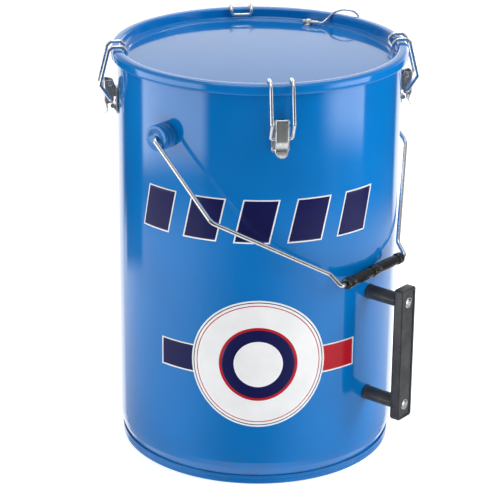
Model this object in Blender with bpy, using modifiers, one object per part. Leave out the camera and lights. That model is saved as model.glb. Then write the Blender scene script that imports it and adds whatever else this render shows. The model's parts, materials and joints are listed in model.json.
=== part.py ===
"""Steel pail drum: recessed lid held by four toggle latches, swinging wire bail with a turning
grip, and a fixed tipping handle low on the wall. Metres, +Z up, drum axis on the Z axis, base at
z = 0. Azimuth 0 faces -Y (the front latch) and grows towards +X."""
import math

import bmesh
import bpy
from mathutils import Matrix, Vector

MM = 0.001

# ---- driving dimensions, millimetres ----
HEIGHT = 449.4          # floor to the top of the lid's curl
WALL_R = 152.5          # outside of the drum wall
SHEET = 1.0             # drum and lid sheet
GAP = 0.3               # clearance between parts that touch
TURN_STEPS = 48

LATCH_AZIMUTHS = (0, 90, 180, 270)
EAR_AZIMUTHS = (-46.3, 133.7)
HANDLE_AZIMUTH = 43.7

# Latch points: (distance out from the wall, height above the lid's top)
LEVER_PIVOT = (7.5, -38.5)
LOOP_PIVOT = (7.8, -55.5)
LEVER_HALF_WIDTH = 7.0
LEVER_SHEET = 1.0
LOOP_WIRE_R = 1.75
LOOP_HALF_WIDTH = 11.4
PIN_R = 1.5
BASE_HALF_WIDTH = 9.5
BASE_TOP = -43.5
BASE_BOTTOM = -71.5
BASE_SHEET = 1.5
CHEEK_Y = (4.0, 5.2)

# Bail, in its own plane: s along the ear axis, t away from it
EAR_HEIGHT = HEIGHT - 65.0
EAR_STANDOFF = 17.0
EAR_RIDGE_R = 13.6
EAR_WAIST_R = 11.4
EAR_BORE_R = 10.0
BAIL_WIRE_R = 2.4
BAIL_LEG_S = 172.8
BAIL_LEG_T = 105.0
BAIL_BEND_S = 61.5
BAIL_BEND_T = 206.0
BAIL_GRIP_T = 222.5
BAIL_OFFSET = 6.0       # the hand-bent grip span sits this much nearer the front ear
BAIL_REST_ANGLE = 46.5  # degrees forward of hanging straight down, leaning on the wall
HOOK_OUT = 8.4          # wall to the hooked wire end inside the ear
GRIP_HALF_LENGTH = 49.5
GRIP_R = 5.4
GRIP_RING_R = 6.3

# Tipping handle
HANDLE_Z = 144.5
POST_SPACING = 118.0
POST_R = 7.7
BAR_LENGTH = 150.0
BAR_WIDTH = 24.0
BAR_INNER = 39.5        # wall to the bar's inner face
BAR_OUTER = 51.5        # wall to the bar's outer face
BAR_RIM = 3.0           # raised rim round the sunk field
SCREW_R = 4.6
SCREW_SEAT = 3.0        # depth of each screw's recess

COLOURS = {
    "blue_enamel": ((0.0, 0.16, 0.50, 1.0), 0.25, 0.0),
    "blue_enamel_lid": ((0.0, 0.16, 0.50, 1.0), 0.22, 0.0),
    "zinc": ((0.66, 0.67, 0.68, 1.0), 0.30, 1.0),
    "bright_wire": ((0.78, 0.79, 0.80, 1.0), 0.18, 1.0),
    "black_plastic": ((0.012, 0.012, 0.013, 1.0), 0.25, 0.0),
    "black_rubber": ((0.02, 0.02, 0.02, 1.0), 0.70, 0.0),
}

for old in list(bpy.data.objects):
    bpy.data.objects.remove(old, do_unlink=True)

PARTS = bpy.data.collections.new("steel_oil_drum")
CUTTERS = bpy.data.collections.new("cutters")
for group in (PARTS, CUTTERS):
    bpy.context.scene.collection.children.link(group)


# ---------------------------------------------------------------- helpers
def material(slot, look):
    mat = bpy.data.materials.new(slot)
    mat.use_nodes = True
    colour, roughness, metallic = COLOURS[look]
    shader = mat.node_tree.nodes["Principled BSDF"]
    shader.inputs["Base Color"].default_value = colour
    shader.inputs["Roughness"].default_value = roughness
    shader.inputs["Metallic"].default_value = metallic
    return mat


def outward(azimuth):
    angle = math.radians(azimuth)
    return Vector((math.sin(angle), -math.cos(angle), 0.0))


def wall_frame(azimuth, out_mm, z_mm):
    """Frame on the wall: local X points out, Y along the wall, Z up."""
    turn = Matrix.Rotation(math.radians(azimuth - 90.0), 4, "Z")
    spot = outward(azimuth) * ((WALL_R + out_mm) * MM)
    spot.z = z_mm * MM
    return Matrix.Translation(spot) @ turn


def finish(obj, look, frame=None):
    """Name the material slot after the node and place the object."""
    obj.data.materials.clear()
    obj.data.materials.append(material(obj.name, look))
    if frame is not None:
        obj.matrix_world = frame
    return obj


def mesh_object(name, mesh, group=None):
    obj = bpy.data.objects.new(name, mesh)
    (group or PARTS).objects.link(obj)
    return obj


def bm_object(name, bm, group=None):
    mesh = bpy.data.meshes.new(name)
    bm.to_mesh(mesh)
    bm.free()
    return mesh_object(name, mesh, group)


def curve_to_mesh(obj, name, group=None, transform=None):
    """Replace a curve object by its evaluated mesh with the caps welded on."""
    bpy.context.view_layer.update()
    graph = bpy.context.evaluated_depsgraph_get()
    mesh = bpy.data.meshes.new_from_object(obj.evaluated_get(graph))
    bm = bmesh.new()
    bm.from_mesh(mesh)
    bmesh.ops.remove_doubles(bm, verts=bm.verts, dist=0.00001)
    if transform is not None:
        bmesh.ops.transform(bm, matrix=transform, verts=bm.verts)
    bmesh.ops.recalc_face_normals(bm, faces=bm.faces)
    bm.to_mesh(mesh)
    bm.free()
    bpy.data.objects.remove(obj, do_unlink=True)
    mesh.name = name
    return mesh_object(name, mesh, group)


def turned(name, profile, group=None, steps=TURN_STEPS, along_x=False):
    """Turn (radius, height) points in millimetres about Z, or about X."""
    bm = bmesh.new()
    verts = [bm.verts.new((r * MM, 0.0, h * MM)) for r, h in profile]
    for first, second in zip(verts, verts[1:]):
        bm.edges.new((first, second))
    if profile[0][0] > 0.0:
        bm.edges.new((verts[-1], verts[0]))
    obj = bm_object(name, bm, group)
    screw = obj.modifiers.new("turn", "SCREW")
    screw.axis = "Z"
    screw.steps = screw.render_steps = steps
    screw.use_merge_vertices = True
    screw.merge_threshold = 0.00001
    screw.use_smooth_shade = False
    if along_x:
        obj = baked(obj, Matrix.Rotation(math.radians(90.0), 4, "Y"))
    return obj


def baked(obj, transform=None):
    """Apply an object's modifiers, keeping its name and collection."""
    bpy.context.view_layer.update()
    graph = bpy.context.evaluated_depsgraph_get()
    mesh = bpy.data.meshes.new_from_object(obj.evaluated_get(graph))
    if transform is not None:
        mesh.transform(transform)
    obj.modifiers.clear()
    obj.data = mesh
    return obj


def side_outline(name, points, y_low, y_high, group=None):
    """A flat (out, up) outline in millimetres, extruded along Y from y_low to y_high."""
    data = bpy.data.curves.new(name, "CURVE")
    data.dimensions = "2D"
    data.fill_mode = "BOTH"
    data.extrude = (y_high - y_low) / 2 * MM
    spline = data.splines.new("POLY")
    spline.points.add(len(points) - 1)
    for point, (out, up) in zip(spline.points, points):
        point.co = (out * MM, up * MM, 0.0, 1.0)
    spline.use_cyclic_u = True
    obj = bpy.data.objects.new(name + "_outline", data)
    (group or PARTS).objects.link(obj)
    stand = Matrix.Rotation(math.radians(90.0), 4, "X")
    slide = Matrix.Translation((0.0, (y_low + y_high) / 2 * MM, 0.0))
    return curve_to_mesh(obj, name, group, slide @ stand)


def box(name, low, high, group=None):
    """A box between two corners, in millimetres."""
    bm = bmesh.new()
    bmesh.ops.create_cube(bm, size=1.0)
    size = [(b - a) * MM for a, b in zip(low, high)]
    centre = [(a + b) / 2 * MM for a, b in zip(low, high)]
    bmesh.ops.scale(bm, vec=size, verts=bm.verts)
    bmesh.ops.translate(bm, vec=centre, verts=bm.verts)
    return bm_object(name, bm, group)


def rod(name, radius, y_low, y_high, out=0.0, up=0.0, group=None, sides=12):
    """A round bar along Y, in millimetres."""
    bm = bmesh.new()
    bmesh.ops.create_cone(bm, cap_ends=True, segments=sides, radius1=radius * MM,
                          radius2=radius * MM, depth=(y_high - y_low) * MM)
    lay = Matrix.Rotation(math.radians(90.0), 4, "X")
    place = Matrix.Translation((out * MM, (y_low + y_high) / 2 * MM, up * MM))
    bmesh.ops.transform(bm, matrix=place @ lay, verts=bm.verts)
    return bm_object(name, bm, group)


def combine(obj, tools, operation):
    """Boolean each tool into obj and drop it."""
    for tool in tools:
        step = obj.modifiers.new("join", "BOOLEAN")
        step.operation = operation
        step.solver = "EXACT"
        step.object = tool
    baked(obj)
    for tool in tools:
        bpy.data.objects.remove(tool, do_unlink=True)
    return obj


def bevel(obj, width_mm, segments=2, angle=40.0):
    step = obj.modifiers.new("soften", "BEVEL")
    step.width = width_mm * MM
    step.segments = segments
    step.limit_method = "ANGLE"
    step.angle_limit = math.radians(angle)
    return obj


def rounded(points, radii, arc_steps=4):
    """Polyline through points with each inner corner replaced by an arc."""
    path = [Vector(points[0])]
    for here, before, after, radius in zip(points[1:-1], points[:-2], points[2:], radii):
        here, before, after = Vector(here), Vector(before), Vector(after)
        to_before = (before - here).normalized()
        to_after = (after - here).normalized()
        half = to_before.angle(to_after) / 2
        reach = min(radius / math.tan(half), 0.49 * (before - here).length,
                    0.49 * (after - here).length)
        arc_r = reach * math.tan(half)
        centre = here + (to_before + to_after).normalized() * (arc_r / math.sin(half))
        start = here + to_before * reach - centre
        end = here + to_after * reach - centre
        sweep = start.angle(end)
        for step in range(arc_steps + 1):
            share = step / arc_steps
            mix = (start * math.sin((1 - share) * sweep) + end * math.sin(share * sweep))
            path.append(centre + mix / math.sin(sweep))
    path.append(Vector(points[-1]))
    return path


def wire(name, path, radius):
    """A round wire along a path in millimetres."""
    data = bpy.data.curves.new(name, "CURVE")
    data.dimensions = "3D"
    data.bevel_depth = radius * MM
    data.bevel_resolution = 2
    data.use_fill_caps = True
    data.twist_mode = "MINIMUM"
    spline = data.splines.new("POLY")
    spline.points.add(len(path) - 1)
    for point, spot in zip(spline.points, path):
        point.co = (spot[0] * MM, spot[1] * MM, spot[2] * MM, 1.0)
    obj = bpy.data.objects.new(name, data)
    PARTS.objects.link(obj)
    return obj


def arc(centre, radius, start, end, steps):
    """Points on a circle, angles in degrees."""
    spots = []
    for step in range(steps + 1):
        angle = math.radians(start + (end - start) * step / steps)
        spots.append((centre[0] + radius * math.cos(angle), centre[1] + radius * math.sin(angle)))
    return spots


# ---------------------------------------------------------------- drum
def drum_shell():
    """Wall with an outward curl at the top, necked in at the bottom seam."""
    curl = (WALL_R + 1.7, HEIGHT - 7.5)
    curl_outer = arc(curl, 2.7, 90, -60, 3)
    curl_inner = arc(curl, 1.7, -60, 180, 4)
    neck = [(0.0, 34.0), (-1.2, 20.0), (-3.8, 11.6), (-3.8, 4.0)]
    outside = [(WALL_R + shift, z) for shift, z in neck]
    inside = [(WALL_R - SHEET + shift, z + 0.3) for shift, z in reversed(neck[:-1])]
    inside.insert(0, (WALL_R - SHEET - 3.8, 4.0))
    throat = arc(curl, 2.7, 180, 125, 1)
    finish(turned("drum_shell", curl_outer + curl_inner + outside + inside + throat), "blue_enamel")


def drum_bottom():
    """Bottom pan whose rim wraps the end of the wall as a double seam."""
    profile = [(0.0, 9.0), (145.6, 9.0), (147.4, 7.4), (147.4, 1.6), (149.0, 1.6),
               (149.0, 9.8), (150.0, 9.8), (150.0, 1.2), (148.8, 0.0), (147.1, 0.0),
               (146.3, 1.2), (146.3, 6.9), (145.2, 8.0), (0.0, 8.0)]
    finish(turned("drum_bottom", profile), "blue_enamel")


def lid():
    """Recessed lid: flat panel, step ring, recess wall, and a curl over the drum's rim."""
    upper = [(0.0, -12.5), (141.0, -12.5), (142.2, -10.7), (145.4, -10.7), (146.6, -9.7),
             (147.5, -2.4), (148.3, -0.7), (149.9, 0.0), (156.0, 0.0), (158.2, -0.9),
             (159.1, -3.0), (159.1, -9.6), (157.9, -10.8), (156.7, -9.8)]
    under = [(158.1, -9.2), (158.1, -3.2), (156.0, -1.0), (150.1, -1.0), (148.5, -2.6),
             (147.6, -10.2), (145.8, -11.7), (142.9, -11.7), (141.8, -13.5), (0.0, -13.5)]
    profile = [(r, HEIGHT + z) for r, z in upper + under]
    finish(turned("lid", profile), "blue_enamel_lid")


def lid_gasket():
    """Rubber ring squeezed between the drum's curl and the lid's channel."""
    section = [(150.6, -1.3), (155.2, -1.3), (156.9, -2.4), (156.9, -4.5), (150.0, -4.5),
               (150.0, -1.9)]
    profile = [(r, HEIGHT + z) for r, z in section]
    finish(turned("lid_gasket", profile), "black_rubber")


# ---------------------------------------------------------------- latches
def from_pivot(points, pivot):
    """Shift (out, up) points so that a pivot becomes their origin."""
    return [(out - pivot[0], up - pivot[1]) for out, up in points]


def latch_frame(azimuth, pivot):
    return wall_frame(azimuth, pivot[0], HEIGHT + pivot[1])


def latch_base(index, azimuth):
    """Base plate with two pivot cheeks and a rolled lower lip."""
    name = f"latch_base_{index}"
    base = box(name, (GAP, -BASE_HALF_WIDTH, BASE_BOTTOM),
               (GAP + BASE_SHEET, BASE_HALF_WIDTH, BASE_TOP))
    baked(bevel(base, 0.6, 1, 60.0))
    pivot_out, pivot_up = LEVER_PIVOT
    cheek = [(1.0, -53.0), (1.0, -44.5)] + arc((pivot_out, pivot_up), 3.5, 165, -25, 5)
    cheek += [(9.4, -45.0), (4.2, -53.0)]
    sides = [side_outline("cheek_right", cheek, *CHEEK_Y, CUTTERS),
             side_outline("cheek_left", cheek, -CHEEK_Y[1], -CHEEK_Y[0], CUTTERS)]
    lip = [(1.0, -68.4)] + arc((5.2, -64.0), 2.4, 225, -110, 6) + [(1.0, -70.4)]
    sides.append(side_outline("lip", lip, -4.2, 4.2, CUTTERS))
    combine(base, sides, "UNION")
    bore = rod("bore", PIN_R + GAP, -8.0, 8.0, pivot_out, pivot_up, CUTTERS)
    combine(base, [bore], "DIFFERENCE")
    finish(base, "zinc", wall_frame(azimuth, 0.0, HEIGHT))


def latch_pin(index, azimuth):
    """Headed pin through the cheeks and the lever."""
    shank_end = LEVER_HALF_WIDTH + GAP
    head_end = shank_end + 1.0
    profile = [(0.0, head_end), (1.9, head_end), (2.5, shank_end), (PIN_R, shank_end),
               (PIN_R, -shank_end), (2.5, -shank_end), (1.9, -head_end), (0.0, -head_end)]
    pin = baked(turned(f"latch_pin_{index}", profile, steps=12),
                Matrix.Rotation(math.radians(90.0), 4, "X"))
    finish(pin, "zinc", latch_frame(azimuth, LEVER_PIVOT))


def lever_sheet():
    """Web and finger tab as a bent strip, narrowing to a round tip."""
    strip = [(14.0, -35.0, 1.0), (14.2, -57.0, 1.0), (11.6, -65.6, 1.0), (11.8, -68.4, 0.98),
             (13.6, -71.0, 0.86), (15.8, -73.6, 0.46)]
    bm = bmesh.new()
    rows = []
    for out, up, share in strip:
        half = (LEVER_HALF_WIDTH - 0.4) * share
        out, up = out - LEVER_PIVOT[0], up - LEVER_PIVOT[1]
        rows.append([bm.verts.new((out * MM, side * half * MM, up * MM)) for side in (-1, 0, 1)])
    for upper, lower in zip(rows, rows[1:]):
        for left in (0, 1):
            bm.faces.new((upper[left], lower[left], lower[left + 1], upper[left + 1]))
    sheet = bm_object("lever_sheet", bm)
    thick = sheet.modifiers.new("thick", "SOLIDIFY")
    thick.thickness = LEVER_SHEET * MM
    thick.offset = 0.0
    return baked(sheet)


def latch_lever(index, azimuth):
    """Channel lever: bent sheet with two side flanges, bored for the pin and the loop."""
    lever = lever_sheet()
    lever.name = f"latch_lever_{index}"
    flange = [(14.0, -35.2), (12.6, -34.4), (7.5, -34.3), (4.6, -35.8), (3.4, -38.8),
              (4.2, -47.0), (4.2, -58.2), (5.6, -59.8), (11.0, -59.6), (14.2, -57.2)]
    flange = from_pivot(flange, LEVER_PIVOT)
    inner = LEVER_HALF_WIDTH - LEVER_SHEET
    walls = [side_outline("flange_right", flange, inner, LEVER_HALF_WIDTH, CUTTERS),
             side_outline("flange_left", flange, -LEVER_HALF_WIDTH, -inner, CUTTERS)]
    combine(lever, walls, "UNION")
    loop_spot = from_pivot([LOOP_PIVOT], LEVER_PIVOT)[0]
    bores = [rod("pin_bore", PIN_R + GAP, -8.0, 8.0, 0.0, 0.0, CUTTERS),
             rod("loop_bore", LOOP_WIRE_R + GAP, -8.0, 8.0, *loop_spot, CUTTERS)]
    combine(lever, bores, "DIFFERENCE")
    finish(lever, "zinc", latch_frame(azimuth, LEVER_PIVOT))


def latch_loop(index, azimuth):
    """Wire loop: feet in the lever, knees, over the rim, crossbar inside the lid recess."""
    foot = LOOP_PIVOT
    half_path = [(foot[0], 5.7, foot[1]), (foot[0], LOOP_HALF_WIDTH, foot[1]),
                 (19.0, LOOP_HALF_WIDTH, -38.0), (9.6, LOOP_HALF_WIDTH, -1.2),
                 (5.4, LOOP_HALF_WIDTH, 2.8), (-5.0, LOOP_HALF_WIDTH, 2.8),
                 (-9.2, LOOP_HALF_WIDTH, -1.2), (-9.2, LOOP_HALF_WIDTH - 1.0, -6.5)]
    half_path = [(out - foot[0], y, up - foot[1]) for out, y, up in half_path]
    mirrored = [(out, -y, up) for out, y, up in reversed(half_path)]
    radii = [2.6, 4.0, 3.0, 3.0, 3.0, 2.5, 2.5]
    path = rounded(half_path + mirrored, radii + radii[::-1], 2)
    loop = wire(f"latch_loop_{index}", path, LOOP_WIRE_R)
    finish(loop, "bright_wire", latch_frame(azimuth, LOOP_PIVOT))


def latch_rivets(index, azimuth):
    """Two rivet heads that hold the base plate to the wall."""
    seat = GAP + BASE_SHEET + GAP
    dome = [(0.0, seat + 1.3), (1.6, seat + 0.9), (2.4, seat), (0.0, seat)]
    for level, along, up in (("upper", 6.9, -57.5), ("lower", -6.9, -67.5)):
        rivet = turned(f"latch_rivet_{index}_{level}", dome, steps=12, along_x=True)
        side = Matrix.Translation((0.0, along * MM, 0.0))
        finish(rivet, "zinc", wall_frame(azimuth, 0.0, HEIGHT + up) @ side)


def latch(index, azimuth):
    latch_base(index, azimuth)
    latch_pin(index, azimuth)
    latch_lever(index, azimuth)
    latch_loop(index, azimuth)
    latch_rivets(index, azimuth)


# ---------------------------------------------------------------- bail
def bail_ear(side, azimuth):
    """Round ear with three ridges, hollow behind, with the bail's hole in its face."""
    face = EAR_STANDOFF
    hole = BAIL_WIRE_R + 0.4
    profile = [(hole, face), (EAR_RIDGE_R - 0.7, face), (EAR_RIDGE_R, face - 0.7),
               (EAR_RIDGE_R, face - 2.8), (EAR_WAIST_R, face - 3.8), (EAR_WAIST_R, face - 6.0),
               (EAR_RIDGE_R, face - 7.2), (EAR_RIDGE_R, face - 9.4), (EAR_WAIST_R, face - 10.6),
               (EAR_WAIST_R, face - 12.0), (EAR_RIDGE_R, face - 13.2), (EAR_RIDGE_R, -2.0),
               (EAR_BORE_R, -2.0), (EAR_BORE_R, face - 1.4), (hole, face - 1.4)]
    ear = turned(f"bail_ear_{side}", profile, steps=24, along_x=True)
    saddle = bpy.data.meshes.new("saddle")
    bm = bmesh.new()
    bmesh.ops.create_cone(bm, cap_ends=True, segments=90, radius1=(WALL_R + GAP) * MM,
                          radius2=(WALL_R + GAP) * MM, depth=0.2)
    bmesh.ops.translate(bm, vec=(-WALL_R * MM, 0.0, 0.0), verts=bm.verts)
    bm.to_mesh(saddle)
    bm.free()
    combine(ear, [mesh_object("saddle", saddle, CUTTERS)], "DIFFERENCE")
    finish(ear, "blue_enamel", wall_frame(azimuth, 0.0, EAR_HEIGHT))


def bail_frame():
    """Origin on the ear axis; X along the ear axis (s), Y along the bail's plane (t)."""
    along = outward(EAR_AZIMUTHS[0])
    front = outward(HANDLE_AZIMUTH)
    tilt = math.radians(BAIL_REST_ANGLE)
    hang = front * math.sin(tilt) - Vector((0.0, 0.0, 1.0)) * math.cos(tilt)
    across = along.cross(hang)
    frame = Matrix((along, hang, across)).transposed().to_4x4()
    frame.translation = (0.0, 0.0, EAR_HEIGHT * MM)
    return frame


def bail_wire():
    """One wire: hooked ends inside the ears, straight legs, slanted shoulders, grip span."""
    hook_s = WALL_R + HOOK_OUT
    leg = [(hook_s, -6.5), (hook_s, 0.0), (BAIL_LEG_S, 0.0), (BAIL_LEG_S, BAIL_LEG_T)]
    grip_span = [(BAIL_BEND_S, BAIL_BEND_T), (BAIL_BEND_S - 3.4, BAIL_GRIP_T)]
    path = [(s, t, 0.0) for s, t in leg]
    path += [(s + BAIL_OFFSET, t, 0.0) for s, t in grip_span]
    path += [(BAIL_OFFSET - s, t, 0.0) for s, t in reversed(grip_span)]
    path += [(-s, t, 0.0) for s, t in reversed(leg)]
    radii = [2.6, 4.2, 12.0, 9.0, 4.0]
    path = rounded(path, radii + radii[::-1], 3)
    finish(wire("bail_wire", path, BAIL_WIRE_R), "bright_wire", bail_frame())


def bail_grip():
    """Moulded grip with end collars and a middle ring, free to turn on the wire."""
    end = GRIP_HALF_LENGTH
    half = [(GRIP_RING_R - 0.5, end), (GRIP_RING_R, end - 0.8), (GRIP_RING_R, end - 5.6),
            (GRIP_R, end - 7.6), (GRIP_R, 3.4), (GRIP_RING_R, 1.6)]
    profile = half + [(r, -x) for r, x in reversed(half)]
    bore = BAIL_WIRE_R + GAP
    profile += [(bore, -end), (bore, end)]
    grip = turned("bail_grip", profile, steps=16, along_x=True)
    frame = bail_frame() @ Matrix.Translation((BAIL_OFFSET * MM, BAIL_GRIP_T * MM, 0.0))
    finish(grip, "black_plastic", frame)


# ---------------------------------------------------------------- tipping handle
def handle_bar():
    """Bar with a raised rim on its outer face and a countersink at each screw."""
    half_w, half_l = BAR_WIDTH / 2, BAR_LENGTH / 2
    bar = box("handle_bar", (BAR_INNER, -half_w, -half_l), (BAR_OUTER, half_w, half_l))
    baked(bevel(bar, 2.6, 2, 60.0))
    field = box("field", (BAR_OUTER - 1.0, BAR_RIM - half_w, BAR_RIM + 1.0 - half_l),
                (BAR_OUTER + 2.0, half_w - BAR_RIM, half_l - BAR_RIM - 1.0), CUTTERS)
    cuts = [field]
    for up in (-POST_SPACING / 2, POST_SPACING / 2):
        bm = bmesh.new()
        bmesh.ops.create_cone(bm, cap_ends=True, segments=16, radius1=(SCREW_R + GAP) * MM,
                              radius2=(SCREW_R + GAP) * MM, depth=2.0 * SCREW_SEAT * MM)
        lay = Matrix.Rotation(math.radians(90.0), 4, "Y")
        place = Matrix.Translation((BAR_OUTER * MM, 0.0, up * MM))
        bmesh.ops.transform(bm, matrix=place @ lay, verts=bm.verts)
        cuts.append(bm_object("countersink", bm, CUTTERS))
    combine(bar, cuts, "DIFFERENCE")
    finish(bar, "black_plastic", wall_frame(HANDLE_AZIMUTH, 0.0, HANDLE_Z))


def handle_posts_and_screws():
    for level, up in (("lower", -POST_SPACING / 2), ("upper", POST_SPACING / 2)):
        frame = wall_frame(HANDLE_AZIMUTH, 0.0, HANDLE_Z + up)
        root = GAP + 0.3
        tip = BAR_INNER - GAP
        shape = [(0.0, tip), (POST_R - 0.6, tip), (POST_R, tip - 0.8), (POST_R, root + 2.4),
                 (POST_R + 0.6, root + 0.8), (POST_R + 0.6, root), (0.0, root)]
        post = turned(f"handle_post_{level}", shape, steps=16, along_x=True)
        finish(post, "black_plastic", frame)
        floor = BAR_OUTER - SCREW_SEAT + GAP
        top = BAR_OUTER - 0.6
        head = [(0.0, top), (SCREW_R - 0.6, top), (SCREW_R, top - 0.5), (SCREW_R - 1.0, floor),
                (0.0, floor)]
        screw = turned(f"handle_screw_{level}", head, steps=16, along_x=True)
        slot = box("slot", (top - 0.9, -0.6, -8.0), (top + 1.0, 0.6, 8.0), CUTTERS)
        combine(screw, [slot], "DIFFERENCE")
        finish(screw, "bright_wire", frame)


# ---------------------------------------------------------------- lid tether
def around(azimuth, radius, z):
    spot = outward(azimuth) * radius
    return Vector((spot.x, spot.y, HEIGHT + z))


def tether():
    """Stiff wire from a crimp on the lid, over the rim, to a crimp under a lug on the wall."""
    ferrule_r, wire_r = 2.1, 1.2
    start, end = around(150.8, 136.8, -9.5), around(142.7, 136.8, -9.0)
    run = (end - start).normalized()
    route = [end + run * GAP, end + run * 4.0, around(139.6, 144.4, -4.0),
             around(137.6, 148.4, 2.6), around(134.6, 154.0, 6.0), around(131.0, 160.2, 4.8),
             around(128.9, 163.4, -0.6), around(129.2, 163.0, -8.0), around(129.3, 160.6, -15.0),
             around(129.3, 158.0, -21.0), around(129.3, 157.2, -25.0)]
    low_start = Vector(route[-1])
    path = rounded(route, [5.0] * (len(route) - 2), 2)
    finish(wire("tether_wire", path, wire_r), "bright_wire")

    half = (end - start).length / 2
    sleeve = [(0.0, half), (1.5, half), (ferrule_r, half - 0.7), (ferrule_r, 3.2 - half),
              (ferrule_r + 0.5, 2.6 - half), (ferrule_r + 0.5, 0.6 - half),
              (ferrule_r, -half), (0.0, -half)]
    upper = turned("tether_ferrule_lid", sleeve, steps=16)
    aim = run.to_track_quat("Z", "X").to_matrix().to_4x4()
    finish(upper, "zinc", Matrix.Translation((start + end) * (0.5 * MM)) @ aim)

    drop = 5.0
    lower_sleeve = [(0.0, drop), (1.5, drop), (2.0, drop - 0.6), (2.0, 0.6 - drop),
                    (1.5, -drop), (0.0, -drop)]
    lower = turned("tether_ferrule_wall", lower_sleeve, steps=16)
    spot = Vector((low_start.x, low_start.y, low_start.z - GAP - drop))
    finish(lower, "zinc", Matrix.Translation(spot * MM))

    saddle = saddle_strap("tether_saddle_lid", ferrule_r + 0.4, 2.9, 4.2)
    low = start + run * 7.0
    turn = math.degrees(math.atan2(low.x, -low.y))
    spot = outward(turn) * 136.8
    frame = Matrix.Translation((spot.x * MM, spot.y * MM, (HEIGHT - 12.5 + GAP) * MM))
    finish(saddle, "zinc", frame @ Matrix.Rotation(math.radians(turn - 90.0), 4, "Z"))

    strap = saddle_strap("tether_saddle_wall", 2.0 + GAP, 4.1, 4.6)
    lay = Matrix.Rotation(math.radians(90.0), 4, "Y") @ Matrix.Rotation(math.radians(90.0), 4, "Z")
    level = HEIGHT - 25.0 - GAP - drop
    finish(strap, "zinc", wall_frame(129.3, GAP + 0.3, level) @ lay)


def saddle_strap(name, inner_r, height, foot):
    """Strap bent over a round piece whose centre is height above its foot."""
    outer_r = inner_r + 0.8
    outline = [(-outer_r - foot, 0.0), (-inner_r, 0.0)]
    outline += arc((0.0, height), inner_r, 180, 0, 6)
    outline += [(inner_r, 0.0), (outer_r, 0.0)]
    outline += arc((0.0, height), outer_r, 0, 180, 6)
    outline += [(-outer_r, 0.8), (-outer_r - foot, 0.8)]
    return side_outline(name, outline, -2.5, 2.5)


drum_shell()
drum_bottom()
lid()
lid_gasket()
for number, place_azimuth in enumerate(LATCH_AZIMUTHS, start=1):
    latch(number, place_azimuth)
for ear_name, ear_azimuth in zip(("front", "rear"), EAR_AZIMUTHS):
    bail_ear(ear_name, ear_azimuth)
bail_wire()
bail_grip()
handle_bar()
handle_posts_and_screws()
tether()

for unused in CUTTERS.objects:
    unused.hide_render = True
    unused.display_type = "WIRE"
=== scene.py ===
"""Finished look of the steel drum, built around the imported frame.

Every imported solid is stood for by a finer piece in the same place. Lengths in the shape code are
millimetres. Azimuth 0 faces -Y and grows towards +X, as seen from above.
"""
import json
import math

import bmesh
import bpy
from mathutils import Matrix, Vector, noise


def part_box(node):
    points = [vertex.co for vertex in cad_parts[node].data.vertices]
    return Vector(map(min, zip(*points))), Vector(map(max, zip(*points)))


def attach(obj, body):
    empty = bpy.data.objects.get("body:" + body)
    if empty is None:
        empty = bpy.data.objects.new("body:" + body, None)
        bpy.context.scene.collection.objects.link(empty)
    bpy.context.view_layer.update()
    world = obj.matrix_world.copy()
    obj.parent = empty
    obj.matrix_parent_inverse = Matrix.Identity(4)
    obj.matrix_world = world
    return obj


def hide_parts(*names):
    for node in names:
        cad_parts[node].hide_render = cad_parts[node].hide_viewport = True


MM = 0.001
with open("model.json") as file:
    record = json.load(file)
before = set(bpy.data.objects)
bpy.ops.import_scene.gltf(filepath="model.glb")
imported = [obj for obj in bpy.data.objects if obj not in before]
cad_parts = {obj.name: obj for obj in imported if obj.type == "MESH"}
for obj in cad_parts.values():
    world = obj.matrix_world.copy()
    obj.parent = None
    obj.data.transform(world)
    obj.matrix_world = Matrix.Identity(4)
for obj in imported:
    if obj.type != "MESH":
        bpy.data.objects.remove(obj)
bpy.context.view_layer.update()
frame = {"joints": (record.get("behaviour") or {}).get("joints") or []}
JOINTS = {joint["name"]: joint for joint in frame["joints"]}

SHARP_ANGLE = 38.0
MERGE_DISTANCE = 0.000001
WALL_STEPS = 256

# ---- driving dimensions in millimetres and degrees ----
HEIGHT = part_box("lid")[1].z / MM
WALL_R = 152.5
SHEET = 1.0
SEAM_AZIMUTH = 152.0
SEAM_FOOT = 36.0
LID_FLOOR = -12.5
GAP = 0.3
LATCH_AZIMUTHS = (0, 90, 180, 270)
HANDLE_AZIMUTH = 43.7
LEVER_PIVOT = (7.5, -38.5)
LOOP_PIVOT = (7.8, -55.5)
LEVER_HALF_WIDTH = 7.0
PLATE_HALF_WIDTH = 9.5
PLATE_TOP = -43.5
PLATE_FOOT = -71.5
RIVETS = (("upper", 6.9, -57.5), ("lower", -6.9, -67.5))
LOOP_WIRE_R = 1.75
LOOP_HALF_WIDTH = 11.4
PIN_R = 1.5
EAR_RIDGE_R = 13.6
BAIL_WIRE_R = 2.4
BAIL_LEG_S = 172.8
BAIL_LEG_T = 105.0
BAIL_BEND_S = 61.5
BAIL_BEND_T = 206.0
HOOK_OUT = 8.4
GRIP_HALF_LENGTH = 49.5
GRIP_R = 5.4
GRIP_RING_R = 6.3
POST_SPACING = 118.0
POST_R = 7.7
BAR_WIDTH = 24.0
BAR_LENGTH = 150.0
BAR_INNER = 39.5
BAR_OUTER = 51.5
TETHER_WIRE_R = 1.2
TETHER_SEAT_R = 136.8
TETHER_WALL_AZIMUTH = 129.3

# ---- prints: a row of leaning blocks, and a round label with side tabs ----
PRINT_EDGE = 1.5
EDGE_LIFT = 0.10
INK_LIFT = 0.14
BLOCK_COUNT = 5
BLOCK_AZIMUTH = -8.6
BLOCK_Z = 302.0
BLOCK_PITCH = 56.0
BLOCK_HALF = (17.5, 22.5)
BLOCK_LEAN = 0.22
LABEL_AZIMUTH = -7.3
LABEL_Z = 142.5
TAB_OFFSET = 82.0
TAB_HALF = (28.0, 14.5)

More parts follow.
